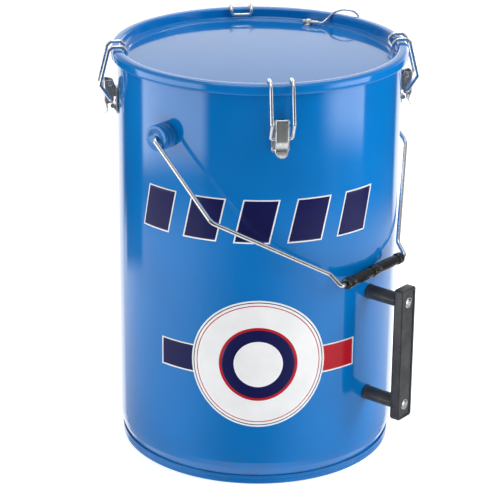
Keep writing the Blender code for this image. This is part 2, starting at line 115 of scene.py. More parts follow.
# ---- studio, metres and degrees ----
CAMERA_AZIMUTH = -8.3
CAMERA_DISTANCE = 2.139
CAMERA_HEIGHT = 1.040
CAMERA_PITCH = 21.15
CAMERA_YAW = -0.21
CAMERA_ROLL = 0.616
CAMERA_LENS = 149.1
FLOOR_HALF = 12.0
FLOOR_GLOW = 0.6
LAMP_AIM_Z = 0.27


# ---------------------------------------------------------------- frames
def outward(azimuth):
    """Unit vector from the drum's axis, level, at an azimuth in degrees."""
    angle = math.radians(azimuth)
    return Vector((math.sin(angle), -math.cos(angle), 0.0))


def azimuth_of(direction):
    """Azimuth in degrees of a direction."""
    return math.degrees(math.atan2(direction[0], -direction[1]))


def wall_frame(azimuth, out_mm, z_mm):
    """Frame on the wall: local X points out, Y along the wall, Z up."""
    turn = Matrix.Rotation(math.radians(azimuth - 90.0), 4, "Z")
    spot = outward(azimuth) * ((WALL_R + out_mm) * MM)
    spot.z = z_mm * MM
    return Matrix.Translation(spot) @ turn


EAR_AXIS = Vector(JOINTS["bail_swing"]["axis"])
EAR_HEIGHT = JOINTS["bail_swing"]["pos_m"][2] / MM
EAR_AZIMUTHS = (azimuth_of(EAR_AXIS), azimuth_of(-EAR_AXIS))
GRIP_CENTRE = Vector(JOINTS["grip_spin"]["pos_m"])
GRIP_REACH = GRIP_CENTRE - Vector(JOINTS["bail_swing"]["pos_m"])
BAIL_OFFSET = GRIP_REACH.dot(EAR_AXIS) / MM
GRIP_DROP = GRIP_REACH - EAR_AXIS * GRIP_REACH.dot(EAR_AXIS)


def bail_frame():
    """Origin on the ear axis; X along it, Y along the bail's plane towards the grip."""
    hang = GRIP_DROP.normalized()
    across = EAR_AXIS.cross(hang)
    placed = Matrix((EAR_AXIS, hang, across)).transposed().to_4x4()
    placed.translation = (0.0, 0.0, EAR_HEIGHT * MM)
    return placed


# ---------------------------------------------------------------- node materials
class Graph:
    """The arithmetic nodes that the finishes and the sky share."""

    def __init__(self, tree):
        self.nodes = tree.nodes
        self.links = tree.links

    def span(self, value, low, high, to_low, to_high, smooth=False):
        """Map value from low..high to to_low..to_high, clamped."""
        node = self.nodes.new("ShaderNodeMapRange")
        if smooth:
            node.interpolation_type = "SMOOTHSTEP"
        for name, number in (("From Min", low), ("From Max", high),
                             ("To Min", to_low), ("To Max", to_high)):
            node.inputs[name].default_value = number
        self.links.new(value, node.inputs["Value"])
        return node.outputs["Result"]

    def math(self, operation, first, second=0.0):
        """One Math node. Each operand is a number or a socket."""
        node = self.nodes.new("ShaderNodeMath")
        node.operation = operation
        for socket, value in zip(node.inputs, (first, second)):
            if isinstance(value, (int, float)):
                socket.default_value = value
            else:
                self.links.new(value, socket)
        return node.outputs["Value"]

    def band(self, value, rise, fall, level=1.0):
        """Smooth plateau: up over the rise pair, down over the fall pair."""
        up = self.span(value, *rise, 0.0, level, True)
        down = self.span(value, *fall, 1.0, 0.0, True)
        return self.math("MULTIPLY", up, down)


class Shader(Graph):
    """A Principled material and the textures that the finishes share."""

    def __init__(self, name, colour, roughness, metallic=0.0):
        self.material = bpy.data.materials.new(name)
        self.material.use_nodes = True
        super().__init__(self.material.node_tree)
        self.principled = self.nodes["Principled BSDF"]
        self.set("Base Color", (*colour, 1.0))
        self.set("Roughness", roughness)
        self.set("Metallic", metallic)
        self.coords = self.nodes.new("ShaderNodeTexCoord").outputs["Object"]
        self.normal = None

    def set(self, name, value):
        """Give a Principled input a plain value."""
        self.principled.inputs[name].default_value = value

    def scaled(self, scale):
        """Object coordinates stretched by a scale per axis."""
        node = self.nodes.new("ShaderNodeMapping")
        node.inputs["Scale"].default_value = scale
        self.links.new(self.coords, node.inputs["Vector"])
        return node.outputs["Vector"]

    def noise(self, scale, detail=3.0, stretch=(1.0, 1.0, 1.0), rough=0.5):
        """Fractal noise. A small third stretch draws it out along local Z."""
        node = self.nodes.new("ShaderNodeTexNoise")
        node.inputs["Scale"].default_value = scale
        node.inputs["Detail"].default_value = detail
        node.inputs["Roughness"].default_value = rough
        self.links.new(self.scaled(stretch), node.inputs["Vector"])
        return node.outputs["Fac"]

    def cells(self, scale):
        """Distance to the nearest of a scatter of points."""
        node = self.nodes.new("ShaderNodeTexVoronoi")
        node.inputs["Scale"].default_value = scale
        self.links.new(self.coords, node.inputs["Vector"])
        return node.outputs["Distance"]

    def blend(self, factor, first, second):
        """Mix two colours, each a tuple or a socket."""
        node = self.nodes.new("ShaderNodeMix")
        node.data_type = "RGBA"
        self.links.new(factor, node.inputs["Factor"])
        for socket, value in ((node.inputs[6], first), (node.inputs[7], second)):
            if isinstance(value, tuple):
                socket.default_value = (*value, 1.0)
            else:
                self.links.new(value, socket)
        return node.outputs[2]

    def feed(self, name, value):
        """Drive a Principled input from a socket."""
        self.links.new(value, self.principled.inputs[name])

    def bump(self, height, distance, strength=1.0):
        """Add one more bump, distance in metres, on top of the earlier ones."""
        node = self.nodes.new("ShaderNodeBump")
        node.inputs["Distance"].default_value = distance
        node.inputs["Strength"].default_value = strength
        self.links.new(height, node.inputs["Height"])
        if self.normal is not None:
            self.links.new(self.normal, node.inputs["Normal"])
        self.normal = node.outputs["Normal"]
        self.feed("Normal", self.normal)

    def height(self):
        """The point's height in metres, in object coordinates."""
        node = self.nodes.new("ShaderNodeSeparateXYZ")
        self.links.new(self.coords, node.inputs["Vector"])
        return node.outputs["Z"]


def enamel(name, colour, darker_foot=True):
    """Baked gloss enamel: faint orange peel, slow tone drift, and a darker, duller mottle below 55
    mm of object height.
    """
    made = Shader(name, colour, 0.16)
    darker = tuple(0.86 * part for part in colour)
    tone = made.span(made.noise(7.0, 2.0), 0.35, 0.65, 0.0, 1.0)
    paint = made.blend(tone, darker, colour)
    specks = made.span(made.cells(420.0), 0.0, 0.035, 1.0, 0.0)
    rare = made.span(made.noise(38.0, 2.0), 0.66, 0.72, 0.0, 0.35)
    dust = made.math("MULTIPLY", specks, rare)
    paint = made.blend(dust, paint, (0.42, 0.50, 0.60))
    gloss = made.span(made.noise(26.0, 5.0, (1.0, 1.0, 0.35), 0.62), 0.3, 0.75, 0.10, 0.21)
    if darker_foot:
        # Mottle the paint darker and duller where the object height is under 55 mm, darkest at the
        # bottom.
        low = made.span(made.height(), 0.0, 0.055, 1.0, 0.0)
        foot_mottle = made.span(made.noise(55.0, 6.0, (1.0, 1.0, 2.0), 0.7), 0.45, 0.75, 0.0, 0.5)
        foot_darkening = made.math("MULTIPLY", low, foot_mottle)
        paint = made.blend(foot_darkening, paint, (0.045, 0.10, 0.20))
        gloss = made.math("ADD", gloss, made.math("MULTIPLY", foot_darkening, 0.5))
    made.feed("Base Color", paint)
    made.feed("Roughness", gloss)
    made.set("Coat Weight", 1.0)
    made.set("Coat Roughness", 0.03)
    made.set("Specular IOR Level", 0.15)
    made.bump(made.noise(420.0, 2.0), 0.00001, 0.20)
    made.bump(made.noise(16.0, 2.0, (1.0, 1.0, 0.25)), 0.0004, 0.08)
    return made.material


def zinc_plate():
    """Stamped steel with bright zinc: fine upright rolling lines and a cloudy roughness."""
    made = Shader("zinc_plate", (0.72, 0.73, 0.74), 0.30, 0.85)
    lines = made.span(made.noise(620.0, 3.0, (1.0, 1.0, 0.03)), 0.35, 0.65, 0.0, 1.0)
    made.feed("Base Color", made.blend(lines, (0.62, 0.63, 0.64), (0.82, 0.82, 0.81)))
    made.feed("Roughness", made.span(made.noise(90.0, 3.0), 0.3, 0.7, 0.26, 0.34))
    made.bump(made.noise(900.0, 3.0, (1.0, 1.0, 0.03)), 0.00002, 0.2)
    return made.material


def drawn_wire():
    """Bright drawn wire: smooth, with faint die lines and small dull spots."""
    made = Shader("drawn_wire", (0.84, 0.85, 0.86), 0.12, 1.0)
    spots = made.span(made.noise(300.0, 4.0), 0.42, 0.72, 0.0, 1.0)
    made.feed("Base Color", made.blend(spots, (0.90, 0.91, 0.92), (0.76, 0.77, 0.78)))
    made.feed("Roughness", made.span(made.noise(700.0, 3.0), 0.3, 0.7, 0.16, 0.28))
    made.bump(made.noise(1600.0, 2.0, (1.0, 1.0, 0.08)), 0.00001, 0.5)
    return made.material


def moulded(name, colour, low, high, grain_mm, depth):
    """Moulded plastic: fine grain, handling polish and a trace of dust."""
    made = Shader(name, colour, (low + high) / 2)
    worn = made.span(made.noise(60.0, 4.0), 0.35, 0.7, 0.0, 1.0)
    pale = tuple(part * 1.9 + 0.002 for part in colour)
    made.feed("Base Color", made.blend(worn, colour, pale))
    made.feed("Roughness", made.span(made.noise(140.0, 5.0), 0.3, 0.7, low, high))
    made.bump(made.noise(1.0 / (grain_mm * MM), 3.0), depth, 0.5)
    return made.material


def rubber():
    """Dull black gasket rubber."""
    made = Shader("gasket_rubber", (0.018, 0.018, 0.018), 0.7)
    made.feed("Roughness", made.span(made.noise(200.0, 4.0), 0.3, 0.7, 0.55, 0.8))
    made.bump(made.noise(1500.0, 2.0), 0.00004, 0.4)
    return made.material


def printed(name, colour):
    """Screen print on the enamel: a thin even ink, slightly less glossy than the paint."""
    made = Shader(name, colour, 0.2)
    tone = made.span(made.noise(40.0, 3.0), 0.3, 0.7, 0.0, 1.0)
    made.feed("Base Color", made.blend(tone, tuple(0.92 * part for part in colour), colour))
    made.feed("Roughness", made.span(made.noise(300.0, 4.0), 0.3, 0.7, 0.14, 0.26))
    made.set("Specular IOR Level", 0.15)
    made.set("Coat Weight", 0.3)
    made.set("Coat Roughness", 0.05)
    made.bump(made.noise(500.0, 2.0), 0.00002, 0.3)
    return made.material


BLUE = (0.0, 0.187, 0.575)
ENAMEL = enamel("blue_enamel_wall", BLUE)
LID_ENAMEL = enamel("blue_enamel_top", BLUE, darker_foot=False)
ZINC = zinc_plate()
WIRE = drawn_wire()
GRIP_PLASTIC = moulded("grip_black", (0.010, 0.010, 0.010), 0.08, 0.20, 0.8, 0.00003)
BAR_PLASTIC = moulded("bar_black", (0.026, 0.027, 0.029), 0.26, 0.42, 0.5, 0.00008)
RUBBER = rubber()
NAVY_INK = printed("navy_ink", (0.008, 0.009, 0.080))
WHITE_INK = printed("white_ink", (0.93, 0.93, 0.94))
RED_INK = printed("red_ink", (0.50, 0.010, 0.022))


# ---------------------------------------------------------------- shape helpers
def piece(obj, body, material, stands_for=()):
    """Give a shape its material, its body and the solids it stands for."""
    obj.data.materials.clear()
    obj.data.materials.append(material)
    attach(obj, body)
    if stands_for:
        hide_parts(*stands_for)


def mesh_object(name, bm, placed=None, sharp=SHARP_ANGLE):
    """Object from bm, smooth shaded but for edges over the sharp angle."""
    bmesh.ops.recalc_face_normals(bm, faces=bm.faces)
    mesh = bpy.data.meshes.new(name)
    bm.to_mesh(mesh)
    bm.free()
    mesh.shade_smooth()
    mesh.set_sharp_from_angle(angle=math.radians(sharp))
    obj = bpy.data.objects.new(name, mesh)
    bpy.context.scene.collection.objects.link(obj)
    if placed is not None:
        obj.matrix_world = placed
    return obj


def settle(obj):
    """Move an object's placing into its mesh."""
    obj.data.transform(obj.matrix_world)
    obj.matrix_world = Matrix()
    return obj


def soften(obj, width_mm, segments, angle=40.0):
    """Bevel the edges over an angle."""
    step = obj.modifiers.new("soften", "BEVEL")
    step.width = width_mm * MM
    step.segments = segments
    step.limit_method = "ANGLE"
    step.angle_limit = math.radians(angle)
    step.harden_normals = True


def corner_arc(before, here, after, radius, steps):
    """Points of the arc that rounds one corner of a path."""
    before, here, after = Vector(before), Vector(here), Vector(after)
    back, ahead = before - here, after - here
    if radius <= 0.0 or back.angle(ahead) > math.radians(179.0):
        return [here]
    reach_limit = 0.48 * min(back.length, ahead.length)
    back.normalize()
    ahead.normalize()
    half = back.angle(ahead) / 2
    reach = min(radius / math.tan(half), reach_limit)
    centre = here + (back + ahead).normalized() * (reach / math.cos(half))
    start, end = here + back * reach - centre, here + ahead * reach - centre
    sweep = start.angle(end)
    spots = []
    for step in range(steps + 1):
        share = step / steps
        mix = start * math.sin((1 - share) * sweep) + end * math.sin(share * sweep)
        spots.append(centre + mix / math.sin(sweep))
    return spots


def rounded(points, radii, steps=6):
    """Open path with its inner corners rounded. radii is one number or one per corner."""
    if isinstance(radii, (int, float)):
        radii = [radii] * (len(points) - 2)
    path = [Vector(points[0])]
    for before, here, after, radius in zip(points, points[1:], points[2:], radii):
        path += corner_arc(before, here, after, radius, steps)
    path.append(Vector(points[-1]))
    return path


def turned(name, profile, placed=None, steps=192, along_x=False):
    """Turn (radius, height) points about Z, or about X with height along X."""
    bm = bmesh.new()
    verts = [bm.verts.new((spot[0] * MM, 0.0, spot[1] * MM)) for spot in profile]
    for first, second in zip(verts, verts[1:]):
        bm.edges.new((first, second))
    if profile[0][0] > 0.0:
        bm.edges.new((verts[-1], verts[0]))
    bmesh.ops.spin(bm, geom=bm.verts[:] + bm.edges[:], axis=(0, 0, 1), cent=(0, 0, 0),
                   angle=math.tau, steps=steps, use_merge=True)
    bmesh.ops.remove_doubles(bm, verts=bm.verts, dist=MERGE_DISTANCE)
    if along_x:
        lay = Matrix.Rotation(math.radians(90.0), 4, "Y")
        bmesh.ops.transform(bm, matrix=lay, verts=bm.verts)
    return mesh_object(name, bm, placed)


def prism(bm, outline, y_low, y_high):
    """Extrude an (out, up) outline along Y into bm."""
    ends = []
    for y in (y_low, y_high):
        ends.append([bm.verts.new((spot[0] * MM, y * MM, spot[1] * MM)) for spot in outline])
    near, far = ends
    bm.faces.new(near)
    bm.faces.new(far[::-1])
    for place in range(len(outline)):
        after = (place + 1) % len(outline)
        bm.faces.new((near[after], near[place], far[place], far[after]))


def arc(centre, radius, start, end, steps):
    """Points on a circle, angles in degrees."""
    spots = []
    for step in range(steps + 1):
        angle = math.radians(start + (end - start) * step / steps)
        spots.append((centre[0] + radius * math.cos(angle), centre[1] + radius * math.sin(angle)))
    return spots


def wire(name, path, radius, placed=None, smooth_sides=4, round_ends=True):
    """A round wire along a path in millimetres, with softly rounded ends."""
    spots = [Vector(spot) for spot in path]
    shares = [1.0] * len(spots)
    if round_ends:
        head = (spots[1] - spots[0]).normalized()
        tail = (spots[-2] - spots[-1]).normalized()
        cap = ((0.0, 0.55), (0.12, 0.84), (0.38, 1.0))
        begin = [spots[0] + head * radius * shift for shift, _ in cap]
        finish = [spots[-1] + tail * radius * shift for shift, _ in reversed(cap)]
        spots = begin + spots[1:-1] + finish
        ends = [share for _, share in cap]
        shares = ends + shares[1:-1] + ends[::-1]
    data = bpy.data.curves.new(name, "CURVE")
    data.dimensions = "3D"
    data.bevel_depth = radius * MM
    data.bevel_resolution = smooth_sides
    data.use_fill_caps = True
    data.twist_mode = "MINIMUM"
    spline = data.splines.new("POLY")
    spline.points.add(len(spots) - 1)
    for point, spot, share in zip(spline.points, spots, shares):
        point.co = (spot.x * MM, spot.y * MM, spot.z * MM, 1.0)
        point.radius = share
    curve = bpy.data.objects.new(name + "_path", data)
    bpy.context.scene.collection.objects.link(curve)
    bpy.context.view_layer.update()
    mesh = bpy.data.meshes.new_from_object(curve.evaluated_get(
        bpy.context.evaluated_depsgraph_get()))
    bpy.data.objects.remove(curve, do_unlink=True)
    bm = bmesh.new()
    bm.from_mesh(mesh)
    bmesh.ops.remove_doubles(bm, verts=bm.verts, dist=0.000002)
    bpy.data.meshes.remove(mesh)
    return mesh_object(name, bm, placed, 50.0)


# ---------------------------------------------------------------- drum
def drum_shell():
    """Wall with a rolled curl at the top, a soft neck at the foot and a welded side seam."""
    curl = (WALL_R + 1.7, HEIGHT - 7.5)
    neck = [(0.0, HEIGHT - 9.4), (0.0, HEIGHT - 12.0), (0.0, 60.0), (0.0, 34.0), (-0.35, 26.5),
            (-1.3, 19.0), (-2.9, 13.6), (-3.8, 11.4), (-3.8, 4.0)]
    outside = rounded([(WALL_R + shift, z, 0.0) for shift, z in neck], 9.0, 5)
    inside = [(spot[0] - SHEET, spot[1], 0.0) for spot in reversed(outside)]
    profile = arc(curl, 2.7, 90, -70, 16) + arc(curl, 1.7, -70, 180, 20)
    profile += [(spot[0], spot[1]) for spot in outside + inside]
    profile += arc(curl, 2.7, 180, 100, 8)
    shell = turned("drum_wall", profile, steps=WALL_STEPS)
    piece(shell, "drum", ENAMEL, ["drum_shell"])

    bead = bmesh.new()
    section = [(WALL_R - 0.3, -1.6), (WALL_R + 0.1, -1.2), (WALL_R + 0.26, 0.0),
               (WALL_R + 0.1, 1.2), (WALL_R - 0.3, 1.6)]
    rows = []
    levels = 120
    for level in range(levels + 1):
        z = SEAM_FOOT + (HEIGHT - 13.0 - SEAM_FOOT) * level / levels
        ripple = 0.05 * noise.noise(Vector((0.0, 0.0, z * 0.35)))
        rows.append([bead.verts.new(((out + ripple) * MM, along * MM, z * MM))
                     for out, along in section])
    for lower, upper in zip(rows, rows[1:]):
        for place in range(len(section)):
            after = (place + 1) % len(section)
            bead.faces.new((lower[place], lower[after], upper[after], upper[place]))
    bead.faces.new(rows[0][::-1])
    bead.faces.new(rows[-1])
    turn = Matrix.Rotation(math.radians(SEAM_AZIMUTH - 90.0), 4, "Z")
    seam = mesh_object("drum_weld_seam", bead, turn)
    piece(seam, "drum", ENAMEL)


def drum_bottom():
    """Bottom pan with a rolled double seam: two lips, a groove between them, a rounded foot."""
    outline = [(0.0, 9.0), (112.0, 9.0), (116.0, 8.2), (124.0, 8.2), (128.0, 9.0), (145.6, 9.0),
               (147.4, 7.4), (147.4, 1.8), (149.0, 1.8), (149.0, 9.9), (149.7, 10.2),
               (150.2, 9.4), (150.1, 7.2), (149.6, 6.5), (149.6, 6.0), (150.0, 5.4),
               (150.0, 1.4), (149.0, 0.0), (147.0, 0.0), (146.3, 1.2), (146.3, 6.9),
               (145.2, 8.0), (128.2, 8.0), (124.2, 7.2), (115.8, 7.2), (111.8, 8.0), (0.0, 8.0)]
    radii = [2.0, 2.0, 2.0, 2.0, 1.2, 1.0, 0.4, 0.4, 0.3, 0.4, 0.5, 0.5, 0.3, 0.3, 0.5, 0.7, 0.9,
             0.9, 0.7, 0.9, 0.8, 2.0, 2.0, 2.0, 2.0]
    profile = rounded([(r, h, 0.0) for r, h in outline], radii, 4)
    pan = turned("drum_foot", profile, steps=WALL_STEPS)
    piece(pan, "drum", ENAMEL, ["drum_bottom"])


def lid():
    """Recessed lid: flat panel, step ring, recess wall and a full curl over the rim."""
    outline = [(0.0, LID_FLOOR), (108.0, LID_FLOOR), (138.0, LID_FLOOR), (141.0, LID_FLOOR),
               (142.2, -10.7), (145.5, -10.7), (146.7, -9.6), (147.7, -1.6),
               (149.4, 0.0), (156.4, 0.0), (159.1, -1.8),
               (159.1, -10.1), (157.9, -10.8), (156.7, -10.6), (156.7, -9.8), (158.1, -9.6),
               (158.1, -2.4), (156.0, -1.0), (150.0, -1.0), (148.6, -2.4), (147.6, -10.2),
               (146.0, -11.7), (142.9, -11.7), (141.7, -13.5), (0.0, -13.5)]
    radii = [0.0, 0.0, 0.9, 0.7, 1.1, 1.2, 2.2, 2.0, 2.8, 2.6, 0.8, 0.6, 0.3, 0.2, 0.4, 1.2,
             1.4, 1.2, 1.2, 1.2, 1.2, 0.8, 0.7]
    profile = rounded([(r, HEIGHT + h, 0.0) for r, h in outline], radii, 5)
    cover = turned("lid_cover", profile, steps=WALL_STEPS)
    piece(cover, "drum", LID_ENAMEL, ["lid"])


def gasket():
    """Rubber ring inside the lid's channel."""
    outline = [(150.6, -1.3), (155.2, -1.3), (156.9, -2.4), (156.9, -4.5), (150.0, -4.5),
               (150.0, -1.9)]
    ring = turned("lid_gasket_ring", [(r, HEIGHT + h) for r, h in outline], steps=128)
    piece(ring, "drum", RUBBER, ["lid_gasket"])


# ---------------------------------------------------------------- printed marks
def wall_patch(name, azimuth, z, rows, material, lift):
    """A thin print wrapped on the wall. rows are (up, left, right) spans in millimetres."""
    bm = bmesh.new()
    columns = 48
    grid = []
    for up, left, right in rows:
        line = []
        for column in range(columns + 1):
            along = left + (right - left) * column / columns
            spot = outward(azimuth + math.degrees(along / WALL_R)) * ((WALL_R + lift) * MM)
            line.append(bm.verts.new((spot.x, spot.y, (z + up) * MM)))
        grid.append(line)
    for lower, upper in zip(grid, grid[1:]):
        for column in range(columns):
            bm.faces.new((lower[column], lower[column + 1], upper[column + 1], upper[column]))
    bmesh.ops.remove_doubles(bm, verts=bm.verts, dist=MERGE_DISTANCE)
    patch = mesh_object(name, bm)
    thick = patch.modifiers.new("ink", "SOLIDIFY")
    thick.thickness = (lift + 0.05) * MM
    thick.offset = -1.0
    piece(patch, "drum", material)


def block_rows(half_length, half_height, lean, steps=12):
    """Spans of a leaning block, bottom to top."""
    rows = []
    for step in range(-steps, steps + 1):
        up = half_height * step / steps
        rows.append((up, lean * up - half_length, lean * up + half_length))
    return rows


def disc_rows(radius, steps=40):
    """Spans of a disc, bottom to top."""
    rows = []
    for step in range(steps + 1):
        angle = math.pi * step / steps
        half = max(radius * math.sin(angle), 0.001)
        rows.append((-radius * math.cos(angle), -half, half))
    return rows


def prints():
    """A row of plain leaning blocks, and a blank round label with two plain side tabs."""
    length, height = BLOCK_HALF
    for place in range(BLOCK_COUNT):
        spot = BLOCK_AZIMUTH + math.degrees((place - BLOCK_COUNT // 2) * BLOCK_PITCH / WALL_R)
        name = f"print_block_{place + 1}"
        rim = block_rows(length + PRINT_EDGE, height + PRINT_EDGE, BLOCK_LEAN)
        wall_patch(name + "_edge", spot, BLOCK_Z, rim, WHITE_INK, EDGE_LIFT)
        wall_patch(name, spot, BLOCK_Z, block_rows(length, height, BLOCK_LEAN), NAVY_INK, INK_LIFT)

    length, height = TAB_HALF
    for name, side, ink in (("left", -1, NAVY_INK), ("right", 1, RED_INK)):
        spot = LABEL_AZIMUTH + side * math.degrees(TAB_OFFSET / WALL_R)
        rim = block_rows(length + PRINT_EDGE, height + PRINT_EDGE, 0.0)
        wall_patch(f"print_tab_{name}_edge", spot, LABEL_Z, rim, WHITE_INK, EDGE_LIFT)
        wall_patch(f"print_tab_{name}", spot, LABEL_Z, block_rows(length, height, 0.0), ink,
                   INK_LIFT)
    rings = (("field", 72.5, WHITE_INK, 0.18), ("outer", 70.6, NAVY_INK, 0.21),
             ("inner", 69.6, WHITE_INK, 0.24), ("line", 67.0, RED_INK, 0.27),
             ("disc", 66.0, WHITE_INK, 0.30), ("rim", 42.0, RED_INK, 0.33),
             ("core", 39.0, NAVY_INK, 0.36), ("dot", 26.0, WHITE_INK, 0.39))
    for name, radius, ink, lift in rings:
        wall_patch("print_label_" + name, LABEL_AZIMUTH, LABEL_Z, disc_rows(radius), ink, lift)


# ---------------------------------------------------------------- latches
def latch_base(index, azimuth):
    """Base plate with rounded corners, pivot cheeks and a rolled lower lip."""
    placed = wall_frame(azimuth, 0.0, HEIGHT)
    plate = bmesh.new()
    corners = [(-PLATE_HALF_WIDTH, PLATE_FOOT), (PLATE_HALF_WIDTH, PLATE_FOOT),
               (PLATE_HALF_WIDTH, PLATE_TOP), (-PLATE_HALF_WIDTH, PLATE_TOP)]
    outline = []
    for place, here in enumerate(corners):
        before, after = corners[place - 1], corners[(place + 1) % 4]
        outline += corner_arc((*before, 0), (*here, 0), (*after, 0), 2.5, 5)
    faces = []
    for out in (GAP, GAP + 1.5):
        faces.append([plate.verts.new((out * MM, spot.x * MM, spot.y * MM)) for spot in outline])
    plate.faces.new(faces[0])
    plate.faces.new(faces[1][::-1])
    for place in range(len(outline)):
        after = (place + 1) % len(outline)
        plate.faces.new((faces[0][after], faces[0][place], faces[1][place], faces[1][after]))
    cheek = [(1.4, -53.0), (1.4, -44.5)] + arc(LEVER_PIVOT, 3.5, 165, -25, 14)
    cheek += [(9.4, -45.0), (4.2, -53.0)]
    prism(plate, cheek, 4.0, 5.2)
    prism(plate, cheek, -5.2, -4.0)
    lip = [(1.4, -68.2)] + arc((5.2, -64.0), 2.4, 225, -110, 18) + [(1.4, -70.4)]
    prism(plate, lip, -4.2, 4.2)
    base = mesh_object(f"latch_{index}_base", plate, placed)
    soften(base, 0.25, 2)
    piece(base, "drum", ZINC, [f"latch_base_{index}"])

    dome = [(0.0, 3.4), (0.9, 3.32), (1.7, 3.0), (2.2, 2.5), (2.4, 2.1), (2.4, 1.75), (0.0, 1.75)]
    for level, along, up in RIVETS:
        spot = wall_frame(azimuth, 0.0, HEIGHT + up) @ Matrix.Translation((0, along * MM, 0))
        rivet = turned(f"latch_{index}_rivet_{level}", dome, spot, 32, along_x=True)
        piece(rivet, "drum", ZINC, [f"latch_rivet_{index}_{level}"])


def latch_pin(index, azimuth):
    """Pivot pin with a rounded head at each end."""
    shank = LEVER_HALF_WIDTH + GAP
    head = shank + 1.0
    half = [(0.0, head), (1.4, head), (2.2, head - 0.25), (2.5, head - 0.7), (2.5, shank),
            (PIN_R, shank)]
    profile = half + [(r, -h) for r, h in reversed(half)]
    placed = wall_frame(azimuth, LEVER_PIVOT[0], HEIGHT + LEVER_PIVOT[1])
    lay = Matrix.Rotation(math.radians(90.0), 4, "X")
    pin = turned(f"latch_{index}_pin", profile, placed @ lay, 32)
    piece(pin, "drum", ZINC, [f"latch_pin_{index}"])


def latch_lever(index, azimuth):
    """Pressed channel lever: rounded web bends, cut-back flanges and a cupped finger tab.

    Each row is the height, the web's distance out, the share of the full width and how far out
    the flange's free edge lies.
    """
    rows = [(-34.5, 13.2, 1.00, 12.2), (-34.9, 13.9, 1.00, 9.6), (-35.6, 14.1, 1.00, 6.2),
            (-36.8, 14.2, 1.00, 4.4), (-38.8, 14.2, 1.00, 3.6), (-42.0, 14.2, 1.00, 4.0),
            (-47.0, 14.3, 1.00, 4.3), (-53.0, 14.3, 1.00, 4.3), (-56.6, 14.3, 1.00, 4.3),
            (-58.2, 14.0, 1.00, 4.6), (-59.2, 13.6, 1.00, 6.4), (-59.9, 13.3, 1.00, 9.6),
            (-60.6, 12.9, 1.00, 11.2), (-62.4, 12.2, 1.00, 10.9), (-64.8, 11.6, 1.00, 10.4),
            (-66.8, 11.5, 1.00, 10.5), (-68.6, 11.9, 0.98, 11.0), (-70.2, 12.8, 0.89, 12.1),
            (-71.6, 13.9, 0.74, 13.4), (-72.6, 14.8, 0.56, 14.5), (-73.3, 15.4, 0.36, 15.2),
            (-73.7, 15.7, 0.17, 15.6)]
    bend = 1.3
    bm = bmesh.new()
    grid = []
    for up, web, share, edge in rows:
        half = (LEVER_HALF_WIDTH - 0.45) * share
        corner = min(bend, half * 0.5, max(web - edge, 0.1) * 0.9)
        side = [(edge + (web - corner - edge) * step / 3, half) for step in range(3)]
        side += [(web - corner + corner * math.sin(math.radians(turn)),
                  half - corner + corner * math.cos(math.radians(turn)))
                 for turn in (0, 30, 60, 90)]
        side += [(web, (half - corner) * 0.5)]
        section = side + [(web, 0.0)] + [(out, -y) for out, y in reversed(side)]
        grid.append([bm.verts.new(((out - LEVER_PIVOT[0]) * MM, y * MM,
                                   (up - LEVER_PIVOT[1]) * MM)) for out, y in section])
    for upper, lower in zip(grid, grid[1:]):
        for place in range(len(upper) - 1):
            bm.faces.new((upper[place], upper[place + 1], lower[place + 1], lower[place]))
    placed = wall_frame(azimuth, LEVER_PIVOT[0], HEIGHT + LEVER_PIVOT[1])
    lever = mesh_object(f"latch_{index}_lever", bm, placed, 60.0)
    smooth = lever.modifiers.new("smooth", "SUBSURF")
    smooth.levels = smooth.render_levels = 2
    thick = lever.modifiers.new("thick", "SOLIDIFY")
    thick.thickness = 0.9 * MM
    thick.offset = 0.0
    thick.use_even_offset = True
    soften(lever, 0.12, 1, 60.0)
    piece(lever, f"lever_{index}", ZINC, [f"latch_lever_{index}"])


def latch_loop(index, azimuth):
    """Wire loop: feet in the lever, knees, over the rim, crossbar inside the lid recess."""
    foot = LOOP_PIVOT
    half_path = [(foot[0], 5.7, foot[1]), (foot[0], LOOP_HALF_WIDTH, foot[1]),
                 (19.0, LOOP_HALF_WIDTH, -38.0), (9.6, LOOP_HALF_WIDTH, -1.2),
                 (5.4, LOOP_HALF_WIDTH, 2.8), (-5.0, LOOP_HALF_WIDTH, 2.8),
                 (-9.2, LOOP_HALF_WIDTH, -1.2), (-9.2, LOOP_HALF_WIDTH - 1.0, -6.5)]
    half_path = [(out - foot[0], y, up - foot[1]) for out, y, up in half_path]
    mirrored = [(out, -y, up) for out, y, up in reversed(half_path)]
    radii = [2.6, 4.0, 3.6, 3.6, 3.4, 2.8, 2.8]
    path = rounded(half_path + mirrored, radii + radii[::-1], 8)
    placed = wall_frame(azimuth, foot[0], HEIGHT + foot[1])
    loop = wire(f"latch_{index}_loop", path, LOOP_WIRE_R, placed, 5)
    piece(loop, f"loop_{index}", WIRE, [f"latch_loop_{index}"])


# ---------------------------------------------------------------- bail
def bail_ear(side, azimuth):
    """Pressed ear with three rolled ridges and a dished face."""
    ridge = EAR_RIDGE_R
    outline = [(2.8, 16.5), (5.4, 16.4), (8.6, 16.5), (10.2, 17.0), (ridge, 17.0), (ridge, 14.0),
               (11.4, 13.2), (11.4, 11.0), (ridge, 10.2), (ridge, 7.2), (11.4, 6.4), (11.4, 4.8),
               (ridge, 3.8), (ridge, -0.6), (10.0, -0.6), (10.0, 15.6), (2.8, 15.4)]
    radii = [0.5, 1.0, 1.0, 0.8, 1.0, 0.8, 0.8, 1.0, 1.0, 0.8, 0.8, 0.9, 0.1, 0.1, 1.0]
    profile = rounded([(r, h, 0.0) for r, h in outline], radii, 5)
    placed = wall_frame(azimuth, 0.0, EAR_HEIGHT)
    ear = turned(f"bail_ear_{side}_cup", profile, placed, 96, along_x=True)
    hug = WALL_R * MM
    for vert in ear.data.vertices:
        if vert.co.x < 0.0025:
            sink = hug - math.sqrt(hug * hug - vert.co.y * vert.co.y)
            vert.co.x -= sink
    piece(ear, "drum", ENAMEL, [f"bail_ear_{side}"])


